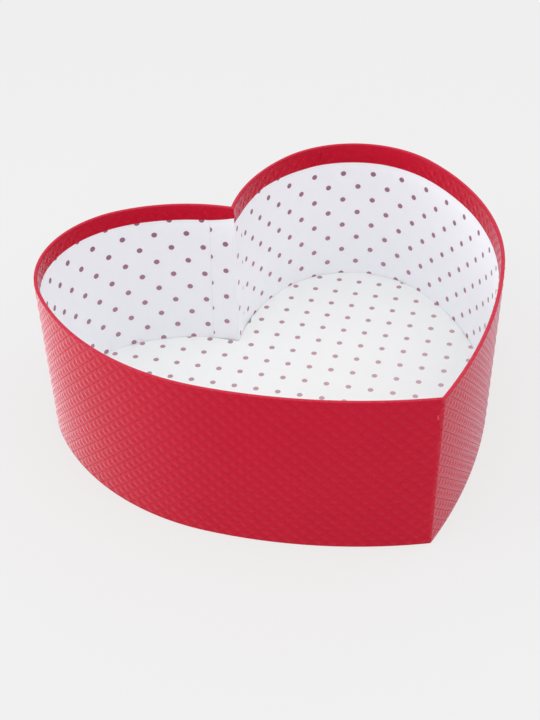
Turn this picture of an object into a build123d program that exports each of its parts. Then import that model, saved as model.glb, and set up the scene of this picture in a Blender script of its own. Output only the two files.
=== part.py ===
from build123d import *

import os
from math import asin, cos, degrees, radians, sin

# Overall size of the box, its length running from the sharp corner of the tip to the tops of the lobes
box_width = 250
box_length = 224.6
box_height = 96

# Heart outline: radius of the lobes as a share of the width
lobe_radius_share = 0.236

# Heart outline: headings in degrees, where each arc of the right half begins or ends
tip_heading = 24.6
side_end_heading = 48.4
shoulder_end_heading = 97
lobe_end_heading = 191
cleft_heading = 227.4

# Thickness of the board and paper stock
wall_board_thickness = 1.5
floor_board_thickness = 2
wrap_thickness = 0.25
lining_thickness = 0.15
stay_thickness = 0.15
base_sheet_thickness = 0.2

# How far the paper is turned in over the rim, on the right and the left half
rim_turn_right = 12.5
rim_turn_left = 10.2

# Turn-in under the bottom, the notches that let it lie flat, and the bare edge around the base sheet
base_turn = 15
notch_count = 9
notch_width = 1.2
notch_land = 1.5
base_sheet_margin = 4

# Reach of the strips to each side of the crease they cover
cleft_strip_reach = 14.4
stay_reach = 15
wrap_lap_reach = 12
stay_end_margin = 3

# Gaps left by hand assembly, and how far below the face of the board the stay tapes are pressed
board_joint_gap = 0.2
floor_gap = 0.35
stay_sink = 0.12

# How far a cut runs past the edge it opens
cut_overrun = 1

os.makedirs("parts", exist_ok=True)


def sine(angle):
    return sin(radians(angle))


def cosine(angle):
    return cos(radians(angle))


# Side and shoulder radii from the width and length that their two arcs have to cover
lobe_radius = lobe_radius_share * box_width
cover_x = box_width / 2
cover_y = box_length - lobe_radius * (1 + cosine(shoulder_end_heading))
side_x = sine(side_end_heading) - sine(tip_heading)
side_y = cosine(tip_heading) - cosine(side_end_heading)
shoulder_x = 1 - sine(side_end_heading)
shoulder_y = cosine(side_end_heading) - cosine(shoulder_end_heading)
arc_spread = side_x * shoulder_y - shoulder_x * side_y
side_radius = (shoulder_y * cover_x - shoulder_x * cover_y) / arc_spread
shoulder_radius = (side_x * cover_y - side_y * cover_x) / arc_spread

# Cleft radius that brings the outline back to the centre line
lobe_start_x = cover_x - shoulder_radius * (1 - sine(shoulder_end_heading))
lobe_end_x = lobe_start_x + lobe_radius * (sine(lobe_end_heading) - sine(shoulder_end_heading))
cleft_radius = lobe_end_x / (sine(lobe_end_heading) - sine(cleft_heading))

# Layers of the wall as insets from its outside
fold_inset = wrap_thickness + wall_board_thickness
lining_inset = fold_inset + lining_thickness
strip_inset = lining_inset + lining_thickness
rim_inset = lining_inset + wrap_thickness
strip_rim_inset = strip_inset + wrap_thickness
floor_inset = strip_inset + floor_gap

# Levels above the table
board_bottom = base_sheet_thickness + wrap_thickness
board_top = box_height - wrap_thickness
board_height = board_top - board_bottom


# Heading of the side arc where it crosses the centre line, at an inset from the outside
def tip_turn(inset):
    return degrees(asin(side_radius * sine(tip_heading) / (side_radius - inset)))


# Distance of that crossing from the sharp outer tip
def tip_rise(inset):
    return side_radius * cosine(tip_heading) - (side_radius - inset) * cosine(tip_turn(inset))


# The outline is centred front to back on its rounded tip and the tops of its lobes
tip_trim = tip_rise(fold_inset) - fold_inset
tip_y = -(box_length + tip_trim) / 2


# Heart at an inset from the outside: the board folds sharp inside the tip and round outside it
def heart(inset):
    bend = max(fold_inset - inset, 0)
    corner_inset = max(fold_inset, inset)
    start_heading = tip_turn(corner_inset)
    cleft_turn = 180 + degrees(asin(-cleft_radius * sine(cleft_heading) / (cleft_radius - inset)))
    with BuildSketch() as outline:
        with BuildLine():
            start = (0, tip_y + tip_rise(corner_inset) - bend)
            if bend > 0:
                tip = JernArc(start, (1, 0), bend, start_heading)
                start = tip @ 1
            start_way = (cosine(start_heading), sine(start_heading))
            side = JernArc(start, start_way, side_radius - inset, side_end_heading - start_heading)
            shoulder_sweep = shoulder_end_heading - side_end_heading
            shoulder = JernArc(side @ 1, side % 1, shoulder_radius - inset, shoulder_sweep)
            lobe_sweep = lobe_end_heading - shoulder_end_heading
            lobe = JernArc(shoulder @ 1, shoulder % 1, lobe_radius - inset, lobe_sweep)
            JernArc(lobe @ 1, lobe % 1, cleft_radius - inset, cleft_turn - lobe_end_heading)
            mirror(about=Plane.YZ)
        make_face()
    return outline.sketch


# Closed band between two insets
def ring(outer, inner):
    with BuildSketch() as outline:
        add(heart(outer))
        add(heart(inner), mode=Mode.SUBTRACT)
    return outline.sketch


# Piece of a band around the tip (-1) or the cleft (+1), to a distance each side of the centre line
def band(outer, inner, half_width, end):
    with BuildSketch() as outline:
        add(ring(outer, inner))
        with Locations((0, end * box_length / 2)):
            Rectangle(2 * half_width, box_length, mode=Mode.INTERSECT)
    return outline.sketch


# Right (+1) or left (-1) half of a sketch
def half(shape, side):
    with BuildSketch() as outline:
        add(shape)
        with Locations((side * box_width / 2, 0)):
            Rectangle(box_width, 2 * box_length, mode=Mode.INTERSECT)
    return outline.sketch


# Slit along the centre line through the cleft, where the two ends of a strip meet
def joint():
    with BuildSketch() as outline:
        Rectangle(board_joint_gap, box_length, align=(Align.CENTER, Align.MIN))
    return outline.sketch


# Sideways distance from the centre line to a point that far along the wall from the tip or cleft
def tip_half_width(reach):
    return side_radius * (sine(tip_heading + degrees(reach / side_radius)) - sine(tip_heading))


def cleft_half_width(reach):
    return cleft_radius * (sine(cleft_heading - degrees(reach / cleft_radius)) - sine(cleft_heading))


# Stay tape pressed into the board around the outside of the tip crease
stay_face = wrap_thickness + stay_sink
stay_inset = stay_face + stay_thickness
stay_bottom = board_bottom + stay_end_margin
stay_height = board_height - 2 * stay_end_margin
with BuildPart() as tip_stay:
    with BuildSketch(Plane.XY.offset(stay_bottom)):
        add(band(stay_face, stay_inset, tip_half_width(stay_reach), -1))
    extrude(amount=stay_height)

# Stay tape pressed into the board across the joint of its two ends in the cleft
with BuildPart() as cleft_stay:
    with BuildSketch(Plane.XY.offset(stay_bottom)):
        add(band(stay_face, stay_inset, cleft_half_width(stay_reach), 1))
    extrude(amount=stay_height)

# Wall board, one strip creased at the tip and meeting end to end in the cleft
with BuildPart() as wall_board:
    with BuildSketch(Plane.XY.offset(board_bottom)):
        add(ring(wrap_thickness, fold_inset))
        add(joint(), mode=Mode.SUBTRACT)
    extrude(amount=board_height)
    with BuildSketch(Plane.XY.offset(stay_bottom)):
        add(band(0, stay_inset, tip_half_width(stay_reach), -1))
        add(band(0, stay_inset, cleft_half_width(stay_reach), 1))
    extrude(amount=stay_height, mode=Mode.SUBTRACT)

# Dotted lining, glued to the wall board before it was bent
with BuildPart() as wall_lining:
    with BuildSketch(Plane.XY.offset(board_bottom)):
        add(ring(fold_inset, lining_inset))
        add(joint(), mode=Mode.SUBTRACT)
    extrude(amount=board_height)

# Dotted strip over the joint of the lining in the cleft
strip_half_width = cleft_half_width(cleft_strip_reach)
with BuildPart() as cleft_strip:
    with BuildSketch(Plane.XY.offset(board_bottom)):
        add(band(lining_inset, strip_inset, strip_half_width, 1))
    extrude(amount=board_height)

# Floor board, dropped inside the lined wall
with BuildPart() as floor_board:
    with BuildSketch(Plane.XY.offset(board_bottom)):
        add(heart(floor_inset))
    extrude(amount=floor_board_thickness)

# Dotted paper on the floor board
with BuildPart() as floor_lining:
    with BuildSketch(Plane.XY.offset(board_bottom + floor_board_thickness)):
        add(heart(floor_inset))
    extrude(amount=lining_thickness)

# Places of the notches along one lobe
lobe_centre_x = lobe_start_x - lobe_radius * sine(shoulder_end_heading)
lobe_centre_y = tip_y + box_length - lobe_radius
lobe_sweep = lobe_end_heading - shoulder_end_heading
notch_radius = lobe_radius - base_turn - cut_overrun
notch_length = base_turn - notch_land + cut_overrun

# Outer wrap, one sheet that covers the wall, folds over the rim and turns in under the bottom
cover_half_width = strip_half_width + wrap_thickness
with BuildPart() as outer_wrap:
    with BuildSketch(Plane.XY.offset(base_sheet_thickness)):
        add(ring(0, wrap_thickness))
        add(half(band(-wrap_thickness, 0, cleft_half_width(wrap_lap_reach), 1), -1))
    extrude(amount=box_height - base_sheet_thickness)
    with BuildSketch(Plane.XY.offset(board_top)):
        add(ring(0, rim_inset))
        add(band(0, strip_rim_inset, cover_half_width, 1))
    extrude(amount=wrap_thickness)
    for side, depth in ((1, rim_turn_right), (-1, rim_turn_left)):
        with BuildSketch(Plane.XY.offset(box_height - depth)):
            add(half(ring(lining_inset, rim_inset), side))
            add(half(band(lining_inset, strip_rim_inset, cover_half_width, 1), side))
        extrude(amount=depth)
    with BuildSketch(Plane.XY.offset(base_sheet_thickness)):
        add(ring(0, base_turn))
        for side in (1, -1):
            with Locations((side * lobe_centre_x, lobe_centre_y)):
                first_angle = 90 + side * (shoulder_end_heading - 180)
                with PolarLocations(notch_radius, notch_count, first_angle, side * lobe_sweep):
                    Rectangle(notch_length, notch_width, align=(Align.MIN, Align.CENTER), mode=Mode.SUBTRACT)
    extrude(amount=wrap_thickness)
    add(cleft_strip.part, mode=Mode.SUBTRACT)

# Base sheet, glued over the turn-in and stepped up inside it onto the floor board
riser_inset = base_turn + base_sheet_thickness
with BuildPart() as base_sheet:
    with BuildSketch():
        add(ring(base_sheet_margin, base_turn))
    extrude(amount=base_sheet_thickness)
    with BuildSketch():
        add(ring(base_turn, riser_inset))
    extrude(amount=board_bottom)
    with BuildSketch(Plane.XY.offset(wrap_thickness)):
        add(heart(riser_inset))
    extrude(amount=base_sheet_thickness)

# One file for each piece
for name, piece in (
    ("wall_board", wall_board),
    ("floor_board", floor_board),
    ("tip_stay", tip_stay),
    ("cleft_stay", cleft_stay),
    ("wall_lining", wall_lining),
    ("cleft_strip", cleft_strip),
    ("floor_lining", floor_lining),
    ("outer_wrap", outer_wrap),
    ("base_sheet", base_sheet),
):
    piece.part.label = name
    export_step(piece.part, f"parts/{name}.step")
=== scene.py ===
from functools import lru_cache
from math import asin, atan2, ceil, copysign, cos, pi, radians, sin, sqrt, tan

import bmesh
import bpy
from mathutils import Matrix, Quaternion, Vector


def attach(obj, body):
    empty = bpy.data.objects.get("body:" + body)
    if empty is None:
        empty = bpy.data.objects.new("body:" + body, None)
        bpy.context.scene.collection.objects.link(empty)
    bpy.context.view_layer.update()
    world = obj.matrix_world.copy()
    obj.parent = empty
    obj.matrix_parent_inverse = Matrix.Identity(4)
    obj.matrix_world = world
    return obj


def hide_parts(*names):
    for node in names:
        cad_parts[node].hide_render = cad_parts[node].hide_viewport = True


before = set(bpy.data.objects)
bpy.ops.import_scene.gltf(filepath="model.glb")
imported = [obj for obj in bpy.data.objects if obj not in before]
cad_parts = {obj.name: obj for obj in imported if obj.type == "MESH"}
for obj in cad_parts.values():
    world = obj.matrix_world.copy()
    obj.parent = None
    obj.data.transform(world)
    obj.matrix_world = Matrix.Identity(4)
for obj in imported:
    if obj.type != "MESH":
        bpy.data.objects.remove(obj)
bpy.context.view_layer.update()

# Wall board: a strip of greyboard, 1.5 mm of pressed waste paper, creased at the tip of the heart
# and butted end to end in the cleft. Paper covers both of its faces. The floor board is the same
# stock, 2 mm thick, dropped inside the wall.
mm = 0.001


def tint(code):
    """The linear colour of an sRGB hex code."""
    values = [int(code[at:at + 2], 16) / 255 for at in (1, 3, 5)]
    return [v / 12.92 if v <= 0.04045 else ((v + 0.055) / 1.055) ** 2.4 for v in values] + [1]


def new_finish(name):
    """An empty material and its node tree."""
    finish = bpy.data.materials.new(name)
    finish.use_nodes = True
    finish.node_tree.nodes.clear()
    return finish, finish.node_tree


def add_node(tree, kind, inputs, **settings):
    """Adds a node with its settings, and sets or links its inputs by name or place."""
    node = tree.nodes.new("ShaderNode" + kind)
    for name, value in settings.items():
        setattr(node, name, value)
    for place, value in inputs.items():
        if isinstance(value, bpy.types.NodeSocket):
            tree.links.new(value, node.inputs[place])
        else:
            node.inputs[place].default_value = value
    return node


def dress(node, finish):
    """Gives a piece that comes from the CAD its finish."""
    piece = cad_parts[node]
    piece.data.materials.clear()
    piece.data.materials.append(finish)


# Pressed pulp: dull grey-brown, with paler and darker fibres a millimetre or so long and no shine.
greyboard, tree = new_finish("greyboard_pressed_pulp")
place = add_node(tree, "TexCoord", {})
fibres = add_node(
    tree, "TexNoise", {"Vector": place.outputs["Object"], "Scale": 1 / (1.1 * mm), "Detail": 6.0}
)
flecks = add_node(tree, "TexVoronoi", {"Vector": place.outputs["Object"], "Scale": 1 / (2.6 * mm)})
fleck = add_node(tree, "MapRange", {0: flecks.outputs["Distance"], 1: 0.16, 2: 0.1, 3: 0.0, 4: 0.6})
pulp = add_node(
    tree, "Mix", {0: fibres.outputs[0], 6: tint("#8B8577"), 7: tint("#B9B3A3")}, data_type="RGBA"
)
speckled = add_node(
    tree, "Mix", {0: fleck.outputs[0], 6: pulp.outputs[2], 7: tint("#6E685C")}, data_type="RGBA"
)
nap = add_node(tree, "Bump", {"Height": fibres.outputs[0], "Strength": 0.5, "Distance": 0.12 * mm})
board_surface = add_node(
    tree,
    "BsdfPrincipled",
    {"Base Color": speckled.outputs[2], "Roughness": 0.92, "Normal": nap.outputs[0]},
)
add_node(tree, "OutputMaterial", {"Surface": board_surface.outputs[0]})
dress("wall_board", greyboard)
dress("floor_board", greyboard)

# Stay tapes: gummed kraft tape pressed over the tip crease and across the butted ends in the cleft.
# The red wrap covers them.

# Gummed kraft: tan, with paler strands that run up the tape and hardly any shine.
stay_tape, tree = new_finish("gummed_kraft_tape")
place = add_node(tree, "TexCoord", {})
along_tape = add_node(
    tree,
    "Mapping",
    {"Vector": place.outputs["Object"], "Scale": (1 / (0.5 * mm), 1 / (0.5 * mm), 1 / (4 * mm))},
)
strands = add_node(tree, "TexNoise", {"Vector": along_tape.outputs[0], "Scale": 1.0, "Detail": 4.0})
kraft = add_node(
    tree, "Mix", {0: strands.outputs[0], 6: tint("#A98558"), 7: tint("#C9A878")}, data_type="RGBA"
)
nap = add_node(tree, "Bump", {"Height": strands.outputs[0], "Strength": 0.3, "Distance": 0.05 * mm})
tape_surface = add_node(
    tree,
    "BsdfPrincipled",
    {"Base Color": kraft.outputs[2], "Roughness": 0.8, "Normal": nap.outputs[0]},
)
add_node(tree, "OutputMaterial", {"Surface": tape_surface.outputs[0]})
dress("tip_stay", stay_tape)
dress("cleft_stay", stay_tape)

# Wall lining: one sheet of white paper printed with mauve dots, glued to the board before it was bent.
# It is cut flat here, printed by its place on the flat sheet, and then bent round the heart,
# whose outline is the five tangent arcs of each half.
box_width, box_length, box_height = 250 * mm, 224.6 * mm, 96 * mm
lobe_radius = 0.236 * box_width
tip_heading, side_end, shoulder_end = radians(24.6), radians(48.4), radians(97)
lobe_end, cleft_heading = radians(191), radians(227.4)
wrap_thickness, board_thickness, lining_thickness = 0.25 * mm, 1.5 * mm, 0.15 * mm
fold_inset = wrap_thickness + board_thickness
lining_inset = fold_inset + lining_thickness
board_bottom, lining_top = 0.45 * mm, 95.0 * mm

cover_y = box_length - lobe_radius * (1 + cos(shoulder_end))
side_x, side_y = sin(side_end) - sin(tip_heading), cos(tip_heading) - cos(side_end)
shoulder_x, shoulder_y = 1 - sin(side_end), cos(side_end) - cos(shoulder_end)
arc_spread = side_x * shoulder_y - shoulder_x * side_y
side_radius = (shoulder_y * box_width / 2 - shoulder_x * cover_y) / arc_spread
shoulder_radius = (side_x * cover_y - side_y * box_width / 2) / arc_spread
lobe_start_x = box_width / 2 - shoulder_radius * (1 - sin(shoulder_end))
lobe_end_x = lobe_start_x + lobe_radius * (sin(lobe_end) - sin(shoulder_end))
cleft_radius = lobe_end_x / (sin(lobe_end) - sin(cleft_heading))


def outward(heading):
    """The direction out of the wall where the outline runs at that heading."""
    return Vector((sin(heading), -cos(heading)))


def tip_turn(inset):
    """Heading at which the side leaves the tip, at that inset."""
    return asin(side_radius * sin(tip_heading) / (side_radius - inset))


inner_tip = (side_radius - fold_inset) * cos(tip_turn(fold_inset))
tip_trim = side_radius * cos(tip_heading) - inner_tip - fold_inset
side_centre = Vector((0, -(box_length + tip_trim) / 2)) - side_radius * outward(tip_heading)
shoulder_centre = side_centre + (side_radius - shoulder_radius) * outward(side_end)
lobe_centre = shoulder_centre + (shoulder_radius - lobe_radius) * outward(shoulder_end)
cleft_centre = lobe_centre + (lobe_radius - cleft_radius) * outward(lobe_end)


@lru_cache(maxsize=None)
def heart_arcs(inset):
    """Centre, radius, first and last heading of each arc of the right half, inset from the outside."""
    corner = max(inset, fold_inset)
    turn = tip_turn(corner)
    cleft_turn = pi + asin(-cleft_radius * sin(cleft_heading) / (cleft_radius - inset))
    return (
        (side_centre + (side_radius - corner) * outward(turn), corner - inset, 0, turn),
        (side_centre, side_radius - inset, turn, side_end),
        (shoulder_centre, shoulder_radius - inset, side_end, shoulder_end),
        (lobe_centre, lobe_radius - inset, shoulder_end, lobe_end),
        (cleft_centre, cleft_radius - inset, lobe_end, cleft_turn),
    )


@lru_cache(maxsize=None)
def half_length(inset):
    """Length of the outline from the tip to the cleft."""
    return sum(radius * (last - first) for _, radius, first, last in heart_arcs(inset))


def on_wall(along, inset, cut_inset):
    """Where a point of a sheet comes to lie, from its distance along the wall as measured at cut_inset."""
    if along > half_length(cut_inset):
        along -= 2 * half_length(cut_inset)
    rest = abs(along)
    for cut, (centre, radius, first, last) in zip(heart_arcs(cut_inset), heart_arcs(inset)):
        length = cut[1] * (cut[3] - cut[2])
        share = min(rest / length, 1) if length else 1
        rest -= length
        if rest <= 0:
            break
    point = centre + radius * outward(first + share * (last - first))
    return copysign(point.x, along), point.y


def cut_sheet(bm, first, last, bottom, top, columns, rows=1):
    """A flat sheet, its x along the wall and its y up it."""
    bmesh.ops.create_grid(bm, x_segments=columns, y_segments=rows, size=0.5)
    bmesh.ops.scale(bm, vec=(last - first, top - bottom, 1), verts=bm.verts[:])
    bmesh.ops.translate(bm, vec=((first + last) / 2, (bottom + top) / 2, 0), verts=bm.verts[:])


def keep_flat(bm, shift=lambda along, height: (along, height)):
    """Keeps each point's place on the flat sheet as the UV map that its print follows."""
    flat = bm.loops.layers.uv.new("flat_sheet")
    for face in bm.faces:
        for loop in face.loops:
            loop[flat].uv = shift(loop.vert.co.x, loop.vert.co.y)


def bend_round(bm, inset, cut_inset):
    """Bends a flat sheet round the wall, with its lift pointing out of the box."""
    for vert in bm.verts:
        along, height, lift = vert.co
        vert.co = (*on_wall(along, inset - lift, cut_inset), height)


def set_on_box(bm, name, finish, node, crease=radians(30)):
    """Makes the bent sheet a piece of the box, sharp where it is creased. It stands for a CAD node."""
    mesh = bpy.data.meshes.new(name)
    for face in bm.faces:
        face.smooth = True
    bm.to_mesh(mesh)
    bm.free()
    mesh.set_sharp_from_angle(angle=crease)
    mesh.materials.append(finish)
    piece = bpy.data.objects.new(name, mesh)
    bpy.context.scene.collection.objects.link(piece)
    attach(piece, "root")
    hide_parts(node)


def dotted_paper(name, source, first_dot, apart, turn, paper, ink, ink_light_run):
    """White offset paper, smooth and a little soft in its sheen, with staggered dots printed in one ink.
    The ink is slightly mottled and its edge is a little uneven. It is painted paler towards the start of
    its ink run, as painted light where more light falls on the sheet. The glue leaves the sheet faintly
    wavy, and an edge cut over another sheet is a thin grey line: its cut edge and the painted shade of its
    small step."""
    dot_radius = 1.64 * mm
    ragged_share, soft_share = 0.02, 0.008
    ink_mottle = 20 * mm
    finish, tree = new_finish(name)
    place = add_node(tree, "TexCoord", {})
    row = (1 / (apart[0] * sqrt(2)), 1 / (apart[1] * sqrt(2)))
    start = Matrix.Rotation(pi / 4 + turn, 2) @ Vector((first_dot[0] * row[0], first_dot[1] * row[1]))
    dots = add_node(
        tree,
        "Mapping",
        {
            "Vector": place.outputs[source],
            "Location": (0.5 - start.x, 0.5 - start.y, 0.5),
            "Rotation": (0, 0, pi / 4 + turn),
            "Scale": (*row, 0),
        },
    )
    cell = add_node(tree, "VectorMath", {0: dots.outputs[0]}, operation="FRACTION")
    from_dot = add_node(tree, "VectorMath", {0: cell.outputs[0], 1: (0.5, 0.5, 0.5)}, operation="DISTANCE")
    mottle = add_node(
        tree, "TexNoise", {"Vector": place.outputs["Object"], "Scale": 1 / (0.45 * mm), "Detail": 2.0}
    )
    ragged = add_node(
        tree,
        "Math",
        {0: mottle.outputs[0], 1: ragged_share, 2: from_dot.outputs["Value"]},
        operation="MULTIPLY_ADD",
    )
    dot_edge = dot_radius * row[0] + ragged_share / 2
    dot = add_node(
        tree,
        "MapRange",
        {0: ragged.outputs[0], 1: dot_edge + soft_share, 2: dot_edge - soft_share, 3: 0.0, 4: 1.0},
    )
    cloud = add_node(
        tree, "TexNoise", {"Vector": place.outputs["Object"], "Scale": 1 / (26 * mm), "Detail": 2.0}
    )
    sheet = add_node(
        tree, "Mix", {0: cloud.outputs[0], 6: tint(paper[0]), 7: tint(paper[1])}, data_type="RGBA"
    )
    sheet_place = add_node(tree, "SeparateXYZ", {0: place.outputs[source]})
    patchy = add_node(
        tree,
        "Math",
        {0: mottle.outputs[0], 1: ink_mottle, 2: sheet_place.outputs[1]},
        operation="MULTIPLY_ADD",
    )
    # Painted light: the ink is paler towards the start of its ink run, where more light falls on the sheet.
    ink_mottle_and_light = add_node(tree, "MapRange", {0: patchy.outputs[0], 1: ink_light_run[0], 2: ink_light_run[1], 3: 0.0, 4: 1.0})
    inked = add_node(
        tree, "Mix", {0: ink_mottle_and_light.outputs[0], 6: tint(ink[0]), 7: tint(ink[1])}, data_type="RGBA"
    )
    printed = add_node(
        tree, "Mix", {0: dot.outputs[0], 6: sheet.outputs[2], 7: inked.outputs[2]}, data_type="RGBA"
    )
    # A grey line where an edge is marked: the cut edge, with painted shade for the small step it makes.
    edge_shade = add_node(tree, "Attribute", {}, attribute_name="shaded_cut_edge")
    edge_shaded = add_node(
        tree, "Mix", {0: edge_shade.outputs["Fac"], 6: printed.outputs[2], 7: tint("#E8EAEF")}, data_type="RGBA"
    )
    grain = add_node(
        tree, "TexNoise", {"Vector": place.outputs["Object"], "Scale": 1 / (0.3 * mm), "Detail": 3.0}
    )
    wavy = add_node(tree, "Bump", {"Height": cloud.outputs[0], "Strength": 0.35, "Distance": 0.5 * mm})
    felt = add_node(
        tree,
        "Bump",
        {"Height": grain.outputs[0], "Strength": 0.25, "Distance": 0.02 * mm, "Normal": wavy.outputs[0]},
    )
    rough = add_node(tree, "MapRange", {0: grain.outputs[0], 1: 0.3, 2: 0.7, 3: 0.5, 4: 0.62})
    surface = add_node(
        tree,
        "BsdfPrincipled",
        {
            "Base Color": edge_shaded.outputs[2],
            "Roughness": rough.outputs[0],
            "Specular IOR Level": 0.3,
            "Normal": felt.outputs[0],
        },
    )
    add_node(tree, "OutputMaterial", {"Surface": surface.outputs[0]})
    return finish


wall_dot_rows = (9.13 * mm, 9.205 * mm)
# The wall's paper is a little whiter than the floor's: painted light, against the shade on the walls.
wall_paper = ("#F7F9FE", "#F9FBFF")
wall_ink, wall_ink_light_run = ("#B18398", "#96677E"), (25 * mm, 90 * mm)
lining_joint, lining_columns = 0.2 * mm, 360
lining_half = half_length(lining_inset)
print_slack, slack_reach = 4.58 * mm, 60 * mm
left_rise, left_slope = 0.45 * mm, 0.0085
right_drop, right_bow, bow_place = 0.2 * mm, 0.075, 85 * mm


def lining_print(along, height):
    """Place on the print, which was pulled a little longer round the tip and does not run quite level."""
    share = min(max((slack_reach - along) / (2 * slack_reach), 0), 1)
    if along < 0:
        rise = left_rise + left_slope * (along + lining_half)
    else:
        rise = right_bow * (along - lining_half + bow_place) ** 2 - right_drop
    return along - print_slack * share, height - rise


lining = bmesh.new()
lining_end = lining_half - lining_joint
cut_sheet(lining, -lining_end, lining_end, board_bottom, lining_top, lining_columns)
bmesh.ops.solidify(lining, geom=lining.faces[:], thickness=lining_thickness)
keep_flat(lining, lining_print)
bend_round(lining, fold_inset, lining_inset)
bmesh.ops.recalc_face_normals(lining, faces=lining.faces[:])
lining_paper = dotted_paper(
    name="dotted_offset_paper_wall",
    source="UV",
    first_dot=(280.117 * mm, 57.96 * mm),
    apart=wall_dot_rows,
    turn=0.0,
    paper=wall_paper,
    ink=wall_ink,
    ink_light_run=wall_ink_light_run,
)
set_on_box(lining, "wall_lining_sheet", lining_paper, "wall_lining")

# Cleft strip: a narrow strip of the same dotted paper, glued upright over the joint in the lining.
# It was put on by hand, a little out of true, so its edges and its dots lean.
strip_right, strip_left = 13.9 * mm, 15.1 * mm
lean_right, lean_left = radians(1.85), radians(1.07)
strip_dot_turn = radians(-1.45)
strip_pull, pull_place = 0.06, 6.2 * mm
strip_shaded_edge = 0.3 * mm
strip_columns, strip_rows = 24, 8
crease_take_up, crease_slip = 1.28 * mm, 1.3 * mm


def strip_print(along, height):
    """Place on the print, less what the crease takes up, and the pull of the paper on the left of it."""
    if along < lining_half:
        return along - lining_half + crease_take_up, height + crease_slip
    return along - lining_half - crease_take_up, height + strip_pull * (along - lining_half - pull_place)


strip = bmesh.new()
cut_sheet(strip, -1, 1, board_bottom, lining_top, strip_columns, strip_rows)
for vert in strip.verts:
    above = vert.co.y - box_height / 2
    edge = strip_left - above * tan(lean_left) if vert.co.x > 0 else strip_right + above * tan(lean_right)
    vert.co.x = lining_half + vert.co.x * edge
# A band along the strip's edges is marked for the grey line: its cut edge, and painted shade of its step.
bmesh.ops.inset_region(strip, faces=strip.faces[:], thickness=strip_shaded_edge, use_boundary=True)
shaded_cut_edge = strip.verts.layers.float.new("shaded_cut_edge")
for vert in strip.verts:
    vert[shaded_cut_edge] = float(vert.is_boundary)
bmesh.ops.solidify(strip, geom=strip.faces[:], thickness=lining_thickness)
keep_flat(strip, strip_print)
bend_round(strip, lining_inset, lining_inset)
bmesh.ops.recalc_face_normals(strip, faces=strip.faces[:])
strip_paper = dotted_paper(
    name="dotted_offset_paper_strip",
    source="UV",
    first_dot=(4.96 * mm, 52.9 * mm),
    apart=wall_dot_rows,
    turn=strip_dot_turn,
    paper=wall_paper,
    ink=wall_ink,
    ink_light_run=wall_ink_light_run,
)
set_on_box(strip, "cleft_strip_sheet", strip_paper, "cleft_strip")

# Floor lining: the same dotted paper, glued over the floor board before the board was dropped in.
# It was cut by hand, so the joint round it is a thin uneven line, wider in three places.
floor_level, floor_corners = 2.45 * mm, 720
floor_joint, strip_clear = 0.16 * mm, 2 * mm
cut_waves = ((0.07 * mm, 9 * mm), (0.05 * mm, 3.7 * mm))
short_cuts = (
    (lining_half - 20.6 * mm, 3 * mm, 2 * mm),
    (lining_half - 144.2 * mm, 2 * mm, 2 * mm),
    (6 * mm - lining_half, 9 * mm, 0.7 * mm),
)


def floor_edge(along):
    """Inset of the sheet's edge, which keeps clear of the wall lining and the cleft strip."""
    gap = floor_joint
    for depth, length in cut_waves:
        gap += depth * sin(along / length)
    for place, reach, depth in short_cuts:
        gap += depth * max(1 - abs(along - place) / reach, 0)
    if lining_half - abs(along) < strip_left + strip_clear:
        gap += lining_thickness
    return lining_inset + gap


floor = bmesh.new()
bmesh.ops.create_circle(floor, cap_ends=True, segments=floor_corners, radius=1)
for vert in floor.verts:
    along = atan2(vert.co.x, -vert.co.y) / pi * lining_half
    vert.co = (*on_wall(along, floor_edge(along), lining_inset), floor_level)
bmesh.ops.solidify(floor, geom=floor.faces[:], thickness=-lining_thickness)
bmesh.ops.recalc_face_normals(floor, faces=floor.faces[:])
# Painted light: the floor's paper is less white and its ink paler than the wall's, as the floor gets more
# light.
floor_paper = dotted_paper(
    name="dotted_offset_paper_floor",
    source="Object",
    first_dot=(13.202 * mm, 25.068 * mm),
    apart=(9.138 * mm, 9.089 * mm),
    turn=0.0,
    paper=("#F2F5F4", "#F4F7F6"),
    ink=("#C7A6B1", "#B38D99"),
    ink_light_run=(-5 * mm, 95 * mm),
)
set_on_box(floor, "floor_lining_sheet", floor_paper, "floor_lining")

# Outer wrap: one sheet of red paper, filmed and rolled with a diamond pattern before it was glued on.
# Each diamond is edged by thin grooves and has a round pip in its middle. The sheet goes round the
# wall from the cleft, with its last strip lapped over the start of it there.
diamond = (7.45 * mm, 7.35 * mm)
groove_width, groove_depth = 0.55 * mm, 0.065 * mm
pip_radius, pip_height = 1.85 * mm, 0.21 * mm
pip_rounds = ((0.6 * mm, 0.58), (0.6 * mm, 0.42))
plain_edge, tip_plain = 0.6 * mm, 3.5 * mm
emboss_crease = radians(12)
wrap_bed = 0.1 * mm
wall_skin_bottom, wall_skin_top = 0.9 * mm, 95.5 * mm
turn_start, turn_plain = 99.2 * mm, 1.6 * mm
lap_reach = 12 * mm
rim_rub_reach, tip_rub_reach, rim_highlight_reach, turn_fade = 0.5 * mm, 0.9 * mm, 0.4 * mm, 1.5 * mm
foot_rub_start, foot_rub_full = 0.9 * mm, 0.3 * mm
scuff_middle, scuff_size = (-2.3 * mm, 85 * mm), (0.6 * mm, 1.7 * mm)
hair, diamond_join, seam_join = 0.001 * mm, 0.01 * mm, 0.002 * mm

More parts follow.
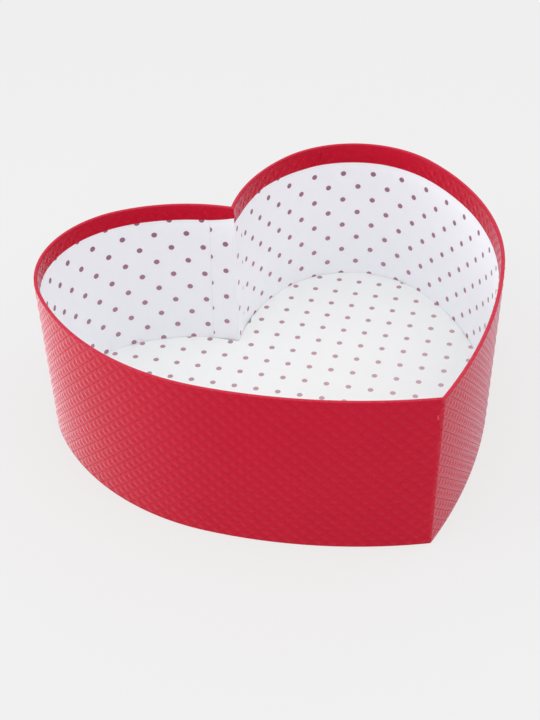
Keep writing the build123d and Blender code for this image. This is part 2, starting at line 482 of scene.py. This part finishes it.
# Filmed red paper: satin and deep red face on, washed with the white of the room at a glancing view.
# The grooves are dull, which shows as dark lines where the film is washed, and their red is painted darker
# as painted shade. The top of the rim is painted brighter red as a painted highlight, and the turn-in has
# its own brighter red, painted light. The folds are rubbed paler, and a small scuff beside the tip is
# white.
red_paper, tree = new_finish("red_paper_satin_film")
place = add_node(tree, "TexCoord", {})
lattice = add_node(
    tree,
    "Mapping",
    {
        "Vector": place.outputs["UV"],
        "Location": (0.5, 0.5, 0.5),
        "Rotation": (0, 0, pi / 4),
        "Scale": (sqrt(2) / diamond[0], sqrt(2) / diamond[1], 0),
    },
)
cell = add_node(tree, "VectorMath", {0: lattice.outputs[0]}, operation="FRACTION")
centred = add_node(tree, "VectorMath", {0: cell.outputs[0], 1: (0.5, 0.5, 0.5)}, operation="SUBTRACT")
spread = add_node(tree, "VectorMath", {0: centred.outputs[0]}, operation="ABSOLUTE")
sides = add_node(tree, "SeparateXYZ", {0: spread.outputs[0]})
nearest = add_node(tree, "Math", {0: sides.outputs[0], 1: sides.outputs[1]}, operation="MAXIMUM")
groove_share = groove_width / 2 / (diamond[0] / sqrt(2))
line_start, line_full = 0.5 - 0.75 * groove_share, 0.5 - 0.3 * groove_share
line = add_node(tree, "MapRange", {0: nearest.outputs[0], 1: line_start, 2: line_full, 3: 0.0, 4: 1.0})
sheet_place = add_node(tree, "SeparateXYZ", {0: place.outputs["UV"]})
fold_start, fold_end = wall_skin_top - 0.2 * mm, wall_skin_top + 0.3 * mm
outside = add_node(
    tree, "MapRange", {0: sheet_place.outputs[1], 1: fold_start, 2: fold_end, 3: 1.0, 4: 0.0}
)
inside = add_node(
    tree,
    "MapRange",
    {0: sheet_place.outputs[1], 1: turn_start, 2: turn_start + turn_fade, 3: 0.0, 4: 1.0},
)
ironed = add_node(tree, "Math", {0: outside.outputs[0], 1: inside.outputs[0]}, operation="MAXIMUM")
groove = add_node(tree, "Math", {0: line.outputs[0], 1: ironed.outputs[0]}, operation="MULTIPLY")
height_up = add_node(tree, "SeparateXYZ", {0: place.outputs["Object"]})
rub_noise = add_node(
    tree, "TexNoise", {"Vector": place.outputs["Object"], "Scale": 1 / (1.6 * mm), "Detail": 5.0}
)
rim_rub = add_node(
    tree,
    "MapRange",
    {0: height_up.outputs[2], 1: box_height - rim_rub_reach, 2: box_height, 3: 0.0, 4: 0.1},
)
foot_rub = add_node(
    tree, "MapRange", {0: height_up.outputs[2], 1: foot_rub_start, 2: foot_rub_full, 3: 0.0, 4: 0.15}
)
tip_rub = add_node(
    tree,
    "MapRange",
    {0: height_up.outputs[1], 1: -box_length / 2 + tip_rub_reach, 2: -box_length / 2, 3: 0.0, 4: 0.2},
)
rim_or_foot = add_node(tree, "Math", {0: rim_rub.outputs[0], 1: foot_rub.outputs[0]}, operation="MAXIMUM")
folds = add_node(tree, "Math", {0: rim_or_foot.outputs[0], 1: tip_rub.outputs[0]}, operation="MAXIMUM")
bare = add_node(tree, "MapRange", {0: rub_noise.outputs[0], 1: 0.42, 2: 0.66, 3: 0.0, 4: 1.0})
rubbed = add_node(tree, "Math", {0: folds.outputs[0], 1: bare.outputs[0]}, operation="MULTIPLY")
cloud = add_node(
    tree, "TexNoise", {"Vector": place.outputs["Object"], "Scale": 1 / (32 * mm), "Detail": 3.0}
)
red = add_node(
    tree, "Mix", {0: cloud.outputs[0], 6: tint("#B80D2C"), 7: tint("#BE112F")}, data_type="RGBA"
)
# Painted light: the turned-in part of the same sheet gets a brighter, deeper red, for the light inside the
# box.
red_with_lit_turn_in = add_node(
    tree, "Mix", {0: inside.outputs[0], 6: red.outputs[2], 7: tint("#C10A2A")}, data_type="RGBA"
)
# Painted shade: the red in the grooves is painted darker.
groove_shade = add_node(tree, "Math", {0: groove.outputs[0], 1: 0.3}, operation="MULTIPLY")
groove_shaded = add_node(
    tree, "Mix", {0: groove_shade.outputs[0], 6: red_with_lit_turn_in.outputs[2], 7: tint("#8C0A22")}, data_type="RGBA"
)
# Painted highlight: the top of the rim, which faces the lamps above, is painted a brighter red.
rim_top_highlight = add_node(
    tree,
    "MapRange",
    {0: height_up.outputs[2], 1: box_height - rim_highlight_reach, 2: box_height, 3: 0.0, 4: 0.2},
)
rim_highlighted = add_node(
    tree, "Mix", {0: rim_top_highlight.outputs[0], 6: groove_shaded.outputs[2], 7: tint("#F0506A")}, data_type="RGBA"
)
worn = add_node(
    tree, "Mix", {0: rubbed.outputs[0], 6: rim_highlighted.outputs[2], 7: tint("#E58C93")}, data_type="RGBA"
)
scuff_place = add_node(
    tree,
    "Mapping",
    {
        "Vector": place.outputs["UV"],
        "Location": (-scuff_middle[0] / scuff_size[0], -scuff_middle[1] / scuff_size[1], 0),
        "Scale": (1 / scuff_size[0], 1 / scuff_size[1], 0),
    },
)
from_scuff = add_node(tree, "VectorMath", {0: scuff_place.outputs[0]}, operation="LENGTH")
scuff_patch = add_node(tree, "MapRange", {0: from_scuff.outputs["Value"], 1: 1.0, 2: 0.5, 3: 0.0, 4: 0.45})
scuff_noise = add_node(
    tree, "TexNoise", {"Vector": place.outputs["Object"], "Scale": 1 / (0.7 * mm), "Detail": 3.0}
)
scratch = add_node(tree, "MapRange", {0: scuff_noise.outputs[0], 1: 0.5, 2: 0.6, 3: 0.0, 4: 1.0})
scuff = add_node(tree, "Math", {0: scuff_patch.outputs[0], 1: scratch.outputs[0]}, operation="MULTIPLY")
scuffed = add_node(
    tree, "Mix", {0: scuff.outputs[0], 6: worn.outputs[2], 7: tint("#F4D6D8")}, data_type="RGBA"
)
grain = add_node(
    tree, "TexNoise", {"Vector": place.outputs["Object"], "Scale": 1 / (0.35 * mm), "Detail": 3.0}
)
glue = add_node(
    tree, "TexNoise", {"Vector": place.outputs["Object"], "Scale": 1 / (11 * mm), "Detail": 2.0}
)
waves = add_node(tree, "Bump", {"Height": glue.outputs[0], "Strength": 0.3, "Distance": 0.25 * mm})
pressed = add_node(
    tree,
    "Bump",
    {"Height": groove.outputs[0], "Strength": 0.35, "Distance": 0.05 * mm, "Normal": waves.outputs[0]},
    invert=True,
)
film = add_node(
    tree,
    "Bump",
    {"Height": grain.outputs[0], "Strength": 0.15, "Distance": 0.03 * mm, "Normal": pressed.outputs[0]},
)
dull = add_node(tree, "MapRange", {0: groove.outputs[0], 1: 0.0, 2: 1.0, 3: 0.16, 4: 0.9})
red_surface = add_node(
    tree,
    "BsdfPrincipled",
    {
        "Base Color": scuffed.outputs[2],
        "Roughness": dull.outputs[0],
        "Specular IOR Level": 0.1,
        "Sheen Weight": 0.32,
        "Sheen Roughness": 0.3,
        "Sheen Tint": tint("#E9DEFF"),
        "Normal": film.outputs[0],
    },
)
add_node(tree, "OutputMaterial", {"Surface": red_surface.outputs[0]})


def cut_across(bm, point, direction, trim=False):
    """Cuts the flat sheet along a straight line, and takes away what lies beyond it where it is trimmed."""
    bmesh.ops.bisect_plane(
        bm,
        geom=bm.verts[:] + bm.edges[:] + bm.faces[:],
        dist=hair,
        plane_co=point,
        plane_no=direction,
        clear_outer=trim,
    )


def roll_diamonds(bm, first, last, bottom, top, short=lambda along: 0):
    """A flat sheet of embossed diamonds, trimmed to its edges, with the pattern ironed out along its top,
    its foot and the tip fold. Its top is cut short by so much at each place along it."""
    bmesh.ops.create_circle(bm, cap_ends=True, segments=4, radius=0.5)
    bmesh.ops.scale(bm, vec=(*diamond, 1), verts=bm.verts[:])
    field = bm.faces[:][0]
    bmesh.ops.inset_individual(
        bm, faces=[field], thickness=groove_width / 2, depth=groove_depth, use_even_offset=True
    )
    bmesh.ops.subdivide_edges(bm, edges=field.edges[:], cuts=1)
    field = max(bm.faces, key=lambda face: len(face.verts))
    bmesh.ops.inset_individual(bm, faces=[field], thickness=groove_width, use_even_offset=True)
    for vert in field.verts:
        vert.co.xy = vert.co.xy.normalized() * pip_radius
    for width, share in pip_rounds:
        bmesh.ops.inset_individual(
            bm, faces=[field], thickness=width, depth=share * pip_height, use_even_offset=True
        )
    bmesh.ops.translate(bm, vec=(0, 0, -groove_depth), verts=bm.verts[:])
    start = (diamond[0] * (first // diamond[0]), diamond[1] * (bottom // diamond[1]))
    bmesh.ops.translate(bm, vec=(*start, 0), verts=bm.verts[:])
    columns = ceil((last - start[0]) / diamond[0]) + 1
    rows = ceil((top - start[1]) / diamond[1]) + 1
    steps = (
        ((diamond[0] / 2, diamond[1] / 2, 0), 1),
        ((diamond[0], 0, 0), columns),
        ((0, diamond[1], 0), rows),
    )
    for step, count in steps:
        bmesh.ops.spin(
            bm,
            geom=bm.verts[:] + bm.edges[:] + bm.faces[:],
            cent=(0, 0, 0),
            axis=(0, 0, 1),
            dvec=step,
            angle=0,
            steps=count,
            use_duplicate=True,
        )
    bmesh.ops.remove_doubles(bm, verts=bm.verts[:], dist=diamond_join)
    cut_across(bm, (first, 0, 0), (-1, 0, 0), True)
    cut_across(bm, (last, 0, 0), (1, 0, 0), True)
    cut_across(bm, (0, bottom, 0), (0, -1, 0), True)
    for vert in bm.verts:
        vert.co.y += short(vert.co.x)
    cut_across(bm, (0, top, 0), (0, 1, 0), True)
    for vert in bm.verts:
        to_top = top - vert.co.y
        vert.co.y -= short(vert.co.x)
        from_edge = min(vert.co.y - bottom, to_top)
        share = min(max(min(from_edge / plain_edge, abs(vert.co.x) / tip_plain), 0), 1)
        vert.co.z *= share * share * (3 - 2 * share)


def bend_lines(bm):
    """Lines across the sheet where it bends round the tip."""
    tip_bend = fold_inset * tip_turn(fold_inset)
    for share in (-1, -0.67, -0.33, 0, 0.33, 0.67, 1):
        cut_across(bm, (share * tip_bend, 0, 0), (1, 0, 0))


def cut_thickness(bm, edges):
    """Gives a cut edge of the sheet a narrow side face, and returns the corners of its far side."""
    grown = bmesh.ops.extrude_edge_only(bm, edges=edges)["geom"]
    return [part for part in grown if isinstance(part, bmesh.types.BMVert)]


wrap_half = half_length(0)
wall_skin = bmesh.new()
roll_diamonds(wall_skin, -wrap_half, wrap_half, wall_skin_bottom, wall_skin_top)
bend_lines(wall_skin)
keep_flat(wall_skin)
bend_round(wall_skin, wrap_bed, 0)
set_on_box(wall_skin, "outer_wrap_wall", red_paper, "outer_wrap", emboss_crease)

lap = bmesh.new()
roll_diamonds(lap, -wrap_half, -wrap_half + lap_reach, wall_skin_bottom, wall_skin_top)
lap_end = lap_reach - wrap_half - hair
lap_edge = [edge for edge in lap.edges if all(vert.co.x > lap_end for vert in edge.verts)]
bmesh.ops.translate(lap, vec=(0, 0, -wrap_thickness), verts=cut_thickness(lap, lap_edge))
keep_flat(lap)
bend_round(lap, wrap_bed - wrap_thickness, 0)
set_on_box(lap, "outer_wrap_lap", red_paper, "outer_wrap", emboss_crease)

# Rim: the top of the same sheet, folded over the board and turned in over the lining. The turn-in is
# deeper on the right than on the left, steps over the cleft strip, and ends in a knife-cut edge.
turn_right, turn_left = 12.15 * mm, 9.65 * mm
narrowing_right, narrowing_left, narrowing_reach = 2.6 * mm, 3.6 * mm, 20 * mm
knife_dip, dip_place, dip_reach = 1.75 * mm, 42 * mm, 33 * mm
knife_waves = ((0.1 * mm, 17 * mm, 0), (0.07 * mm, 6.3 * mm, 1))
knife_spare, strip_step = 1 * mm, 1.6 * mm
rim_round, lip_round = 0.45 * mm, 1.0 * mm
rim_inset = lining_inset + wrap_thickness
rim_steps, fold_columns = 5, 420
tuck_inset, tuck_reach, turn_tuck = 0.12 * mm, 1.2 * mm, 0.06 * mm
pleat_place, pleat_lean = 89.2 * mm, radians(14)
pleat_width, pleat_height = 0.5 * mm, 0.3 * mm
turn_relief = 1.4

rim_lines = [(tuck_inset, wall_skin_top - tuck_reach), (wrap_bed, wall_skin_top)]
for step in range(rim_steps + 1):
    angle = pi / 2 * step / rim_steps
    rim_lines.append((wrap_bed + rim_round * (1 - cos(angle)), box_height + rim_round * (sin(angle) - 1)))
for step in range(rim_steps + 1):
    angle = pi / 2 * (1 - step / rim_steps)
    rim_lines.append((rim_inset + lip_round * (cos(angle) - 1), box_height + lip_round * (sin(angle) - 1)))
turn_top = box_height - turn_plain
rim_lines += [(rim_inset, turn_top), (rim_inset - turn_tuck, turn_top - tuck_reach)]


def over_strip(along):
    """How far the turned-in paper is lifted by the cleft strip under it."""
    share = (abs(along) - wrap_half + strip_left + strip_step) / strip_step
    return lining_thickness * min(max(share, 0), 1)


def turn_depth(along):
    """Depth of the turn-in, cut by a hand-held knife: it wanders, and narrows towards the cleft."""
    share = min(max((along + slack_reach) / (2 * slack_reach), 0), 1)
    wander = sum(depth * sin(along / length + start) for depth, length, start in knife_waves)
    to_cleft = wrap_half - abs(along)
    narrowing = narrowing_left
    if along > 0:
        narrowing = narrowing_right
        wander -= knife_dip * max(1 - abs(to_cleft - dip_place) / dip_reach, 0)
    wander -= narrowing * max(1 - to_cleft / narrowing_reach, 0) ** 2
    return turn_left + (turn_right - turn_left) * share + wander


rim = bmesh.new()
cut_sheet(rim, -wrap_half, wrap_half, 0, len(rim_lines) - 1, fold_columns, len(rim_lines) - 1)
bend_lines(rim)
rim_flat = rim.loops.layers.uv.new("flat_sheet")
rim_runs = [rim_lines[0][1]]
for a, b in zip(rim_lines, rim_lines[1:]):
    rim_runs.append(rim_runs[-1] + sqrt((b[0] - a[0]) ** 2 + (b[1] - a[1]) ** 2))
for face in rim.faces:
    for loop in face.loops:
        loop[rim_flat].uv = (loop.vert.co.x, rim_runs[round(loop.vert.co.y)])
for vert in rim.verts:
    along = vert.co.x
    inset, height = rim_lines[round(vert.co.y)]
    if inset > fold_inset:
        inset += over_strip(along)
    vert.co = (*on_wall(along, inset, 0), height)
bmesh.ops.remove_doubles(rim, verts=rim.verts[:], dist=seam_join)
set_on_box(rim, "outer_wrap_rim", red_paper, "outer_wrap")

turn = bmesh.new()
deepest = turn_right + knife_spare
roll_diamonds(
    turn,
    -wrap_half,
    wrap_half,
    turn_start,
    turn_start + deepest - turn_plain,
    lambda along: deepest - turn_depth(along),
)
bend_lines(turn)
pleat_way = Vector((cos(pleat_lean), -sin(pleat_lean), 0))
pleat = Vector((wrap_half - pleat_place, turn_start, 0))
for side in (-1, 0, 1):
    cut_across(turn, pleat + side * pleat_width * pleat_way, pleat_way)
for vert in turn.verts:
    if abs((vert.co - pleat).xy.dot(pleat_way.xy)) < hair:
        vert.co.z += pleat_height
knife_line = [
    edge
    for edge in turn.edges
    if all(vert.co.y > turn_start + turn_depth(vert.co.x) - turn_plain - hair for vert in edge.verts)
]
for vert in cut_thickness(turn, knife_line):
    vert.co.z = -wrap_thickness / turn_relief
keep_flat(turn)
for vert in turn.verts:
    along, run, lift = vert.co
    height = turn_top - (run - turn_start)
    vert.co = (*on_wall(along, rim_inset + over_strip(along) + turn_relief * lift, 0), height)
bmesh.ops.remove_doubles(turn, verts=turn.verts[:], dist=seam_join)
set_on_box(turn, "outer_wrap_turn_in", red_paper, "outer_wrap", emboss_crease)

# Foot: the lower edge of the sheet, folded under the board and glued flat to it. Slits round the lobes
# let it lie flat there.
foot_round, foot_turn, slit_land = 0.6 * mm, 15 * mm, 1.5 * mm
slit_count, slit_width = 9, 1.2 * mm
foot_level = 0.2 * mm
foot_lines = [(tuck_inset, wall_skin_bottom + tuck_reach), (wrap_bed, wall_skin_bottom)]
for step in range(rim_steps + 1):
    angle = pi / 2 * step / rim_steps
    foot_lines.append(
        (wrap_bed + foot_round * (1 - cos(angle)), foot_level + foot_round * (1 - sin(angle)))
    )
foot_lines += [(slit_land, foot_level), (foot_turn, foot_level), (foot_turn, foot_level + wrap_thickness)]

foot = bmesh.new()
cut_sheet(foot, -wrap_half, wrap_half, 0, len(foot_lines) - 1, fold_columns, len(foot_lines) - 1)
lobe_start = sum(radius * (last - first) for _, radius, first, last in heart_arcs(0)[:3])
slit_step = lobe_radius * (lobe_end - shoulder_end) / slit_count
slits = [side * (lobe_start + slit_step * count) for side in (-1, 1) for count in range(slit_count)]
bend_lines(foot)
for slit in slits:
    for side in (-1, 1):
        cut_across(foot, (slit + side * slit_width / 2, 0, 0), (1, 0, 0))
slit_line = len(foot_lines) - 3
in_slit = [
    face
    for face in foot.faces
    if face.calc_center_median().y > slit_line
    and any(abs(face.calc_center_median().x - slit) < slit_width / 2 for slit in slits)
]
bmesh.ops.delete(foot, geom=in_slit, context="FACES")
foot_flat = foot.loops.layers.uv.new("flat_sheet")
for face in foot.faces:
    for loop in face.loops:
        inset, height = foot_lines[round(loop.vert.co.y)]
        loop[foot_flat].uv = (loop.vert.co.x, height - inset)
for vert in foot.verts:
    inset, height = foot_lines[round(vert.co.y)]
    vert.co = (*on_wall(vert.co.x, inset, 0), height)
bmesh.ops.remove_doubles(foot, verts=foot.verts[:], dist=seam_join)
bmesh.ops.reverse_faces(foot, faces=foot.faces[:])
set_on_box(foot, "outer_wrap_foot", red_paper, "outer_wrap")

# Base sheet: plain red paper cut to a slightly smaller heart and glued under the box, where it hides
# the turned-in edge.

# Uncoated red paper: flat and a little brownish, with a fine felt grain and no film.
base_paper, tree = new_finish("red_uncoated_paper")
place = add_node(tree, "TexCoord", {})
cloud = add_node(
    tree, "TexNoise", {"Vector": place.outputs["Object"], "Scale": 1 / (22 * mm), "Detail": 4.0}
)
grain = add_node(
    tree, "TexNoise", {"Vector": place.outputs["Object"], "Scale": 1 / (0.4 * mm), "Detail": 4.0}
)
red = add_node(
    tree, "Mix", {0: cloud.outputs[0], 6: tint("#A8182B"), 7: tint("#B52036")}, data_type="RGBA"
)
fibre = add_node(
    tree, "Mix", {0: grain.outputs[0], 6: tint("#A01628"), 7: red.outputs[2]}, data_type="RGBA"
)
felt = add_node(tree, "Bump", {"Height": grain.outputs[0], "Strength": 0.3, "Distance": 0.03 * mm})
base_surface = add_node(
    tree,
    "BsdfPrincipled",
    {
        "Base Color": fibre.outputs[2],
        "Roughness": 0.7,
        "Specular IOR Level": 0.3,
        "Normal": felt.outputs[0],
    },
)
add_node(tree, "OutputMaterial", {"Surface": base_surface.outputs[0]})
dress("base_sheet", base_paper)

# Studio: a plain pale table under large soft lamps, in a white room. The glossy film mirrors the table
# brighter on its window side, to the left, and with the shadow of the box on it to the right.
# The table is open from below and close under the box, so that the underside is lit and seen.
backdrop_colour = tint("#EFEFEF")
table_half, table_drop, open_reach = 4.0, 0.05 * mm, 3 * mm
near_table, far_table, near_pale = 300 * mm, 700 * mm, 0.83
window_way = (-0.7, 0.7, 0)
window_start, window_full, window_gain = 20 * mm, 130 * mm, 0.7
shade_full, shade_share = -60 * mm, 0.82
room_fill = 0.74
table_mesh = bmesh.new()
bmesh.ops.create_grid(table_mesh, x_segments=1, y_segments=1, size=table_half)
bmesh.ops.translate(table_mesh, vec=(0, 0, -table_drop), verts=table_mesh.verts[:])
table_sheet = bpy.data.meshes.new("table")
table_mesh.to_mesh(table_sheet)
table_mesh.free()
table = bpy.data.objects.new("table", table_sheet)
bpy.context.scene.collection.objects.link(table)


def backdrop_nodes(tree):
    """The kind of ray, whether the camera sees by it, and the colour it sees, plain white in the film."""
    rays = add_node(tree, "LightPath", {})
    direct = add_node(
        tree,
        "Math",
        {0: rays.outputs["Is Camera Ray"], 1: rays.outputs["Is Glossy Ray"]},
        operation="MAXIMUM",
    )
    seen = add_node(
        tree, "Math", {0: direct.outputs[0], 1: rays.outputs["Is Transmission Ray"]}, operation="MAXIMUM"
    )
    colour = add_node(
        tree,
        "Mix",
        {0: rays.outputs["Is Glossy Ray"], 6: backdrop_colour, 7: tint("#FFFFFF")},
        data_type="RGBA",
    )
    return rays, seen, colour


# Matt white paint: pale and even to the camera, and lit and shaded for every other light.
table_paint, tree = new_finish("matt_white_table")
rays, seen, glow_colour = backdrop_nodes(tree)
place = add_node(tree, "TexCoord", {})
from_box = add_node(tree, "VectorMath", {0: place.outputs["Object"]}, operation="LENGTH")
fade = add_node(
    tree, "MapRange", {0: from_box.outputs["Value"], 1: near_table, 2: far_table, 3: near_pale, 4: 1.0}
)
pale = add_node(tree, "Math", {0: seen.outputs[0], 1: fade.outputs[0]}, operation="MULTIPLY")
matt = add_node(tree, "BsdfDiffuse", {"Color": backdrop_colour})
to_left = add_node(
    tree, "VectorMath", {0: place.outputs["Object"], 1: window_way}, operation="DOT_PRODUCT"
)
window = add_node(
    tree,
    "MapRange",
    {0: to_left.outputs["Value"], 1: window_start, 2: window_full, 3: 0.0, 4: window_gain},
)
brighter = add_node(
    tree, "Math", {0: window.outputs[0], 1: rays.outputs["Is Glossy Ray"], 2: 1.0}, operation="MULTIPLY_ADD"
)
glow = add_node(tree, "Emission", {"Color": glow_colour.outputs[2], "Strength": brighter.outputs[0]})
right_side = add_node(
    tree, "MapRange", {0: to_left.outputs["Value"], 1: 0.0, 2: shade_full, 3: 0.0, 4: shade_share}
)
shaded = add_node(
    tree, "Math", {0: right_side.outputs[0], 1: rays.outputs["Is Glossy Ray"]}, operation="MULTIPLY"
)
unshaded = add_node(tree, "Math", {0: 1.0, 1: shaded.outputs[0]}, operation="SUBTRACT")
even = add_node(tree, "Math", {0: pale.outputs[0], 1: unshaded.outputs[0]}, operation="MULTIPLY")
shown = add_node(tree, "MixShader", {0: even.outputs[0], 1: matt.outputs[0], 2: glow.outputs[0]})
face_side = add_node(tree, "NewGeometry", {})
under_box = add_node(tree, "Math", {0: rays.outputs["Ray Length"], 1: open_reach}, operation="LESS_THAN")
open_side = add_node(
    tree, "Math", {0: face_side.outputs["Backfacing"], 1: under_box.outputs[0]}, operation="MAXIMUM"
)
see_through = add_node(tree, "BsdfTransparent", {})
one_sided = add_node(
    tree, "MixShader", {0: open_side.outputs[0], 1: shown.outputs[0], 2: see_through.outputs[0]}
)
add_node(tree, "OutputMaterial", {"Surface": one_sided.outputs[0]})
table_sheet.materials.append(table_paint)

room = bpy.data.worlds.new("white_room")
bpy.context.scene.world = room
room.use_nodes = True
room.node_tree.nodes.clear()
tree = room.node_tree
rays, seen, room_colour = backdrop_nodes(tree)
fill = add_node(tree, "Background", {"Color": (1, 1, 1, 1), "Strength": room_fill})
backdrop = add_node(tree, "Background", {"Color": room_colour.outputs[2], "Strength": 1.0})
around = add_node(tree, "MixShader", {0: seen.outputs[0], 1: fill.outputs[0], 2: backdrop.outputs[0]})
add_node(tree, "OutputWorld", {"Surface": around.outputs[0]})

lamp_aim = Vector((0, 0, 50 * mm))
for name, where, size, energy in (
    ("left_softbox", (-0.7, -0.1, 1.3), (2.2, 2.2), 8.0),
    ("right_softbox", (0.5, -0.6, 1.15), (1.4, 1.4), 4.2),
    ("side_panel", (-1.15, 0.45, 0.24), (1.2, 0.3), 5.0),
):
    lamp_data = bpy.data.lights.new(name, "AREA")
    lamp_data.shape = "RECTANGLE"
    lamp_data.size, lamp_data.size_y = size
    lamp_data.energy = energy
    lamp = bpy.data.objects.new(name, lamp_data)
    lamp.location = where
    lamp.rotation_mode = "QUATERNION"
    lamp.rotation_quaternion = (lamp.location - lamp_aim).to_track_quat("Z", "Y")
    bpy.context.scene.collection.objects.link(lamp)

# Camera: in front of the tip and to its left, looking down into the box, as the photograph was taken.
# Its place and its lens were worked out from the edges of the box in the photograph.
azimuth, elevation, roll = radians(-30.494), radians(39.268), radians(-1.284)
aim, distance = Vector((-25.032, -0.886, 52.727)), 620.577
camera_data = bpy.data.cameras.new("camera")
camera_data.sensor_width, camera_data.lens = 36, 59.08
camera = bpy.data.objects.new("camera", camera_data)
back = Vector((sin(azimuth) * cos(elevation), -cos(azimuth) * cos(elevation), sin(elevation)))
camera.location = aim * mm + back * distance * mm
camera.rotation_mode = "QUATERNION"
camera.rotation_quaternion = back.to_track_quat("Z", "Y") @ Quaternion((0, 0, 1), roll)
bpy.context.scene.collection.objects.link(camera)
bpy.context.scene.camera = camera
bpy.context.scene.view_settings.view_transform = "Standard"
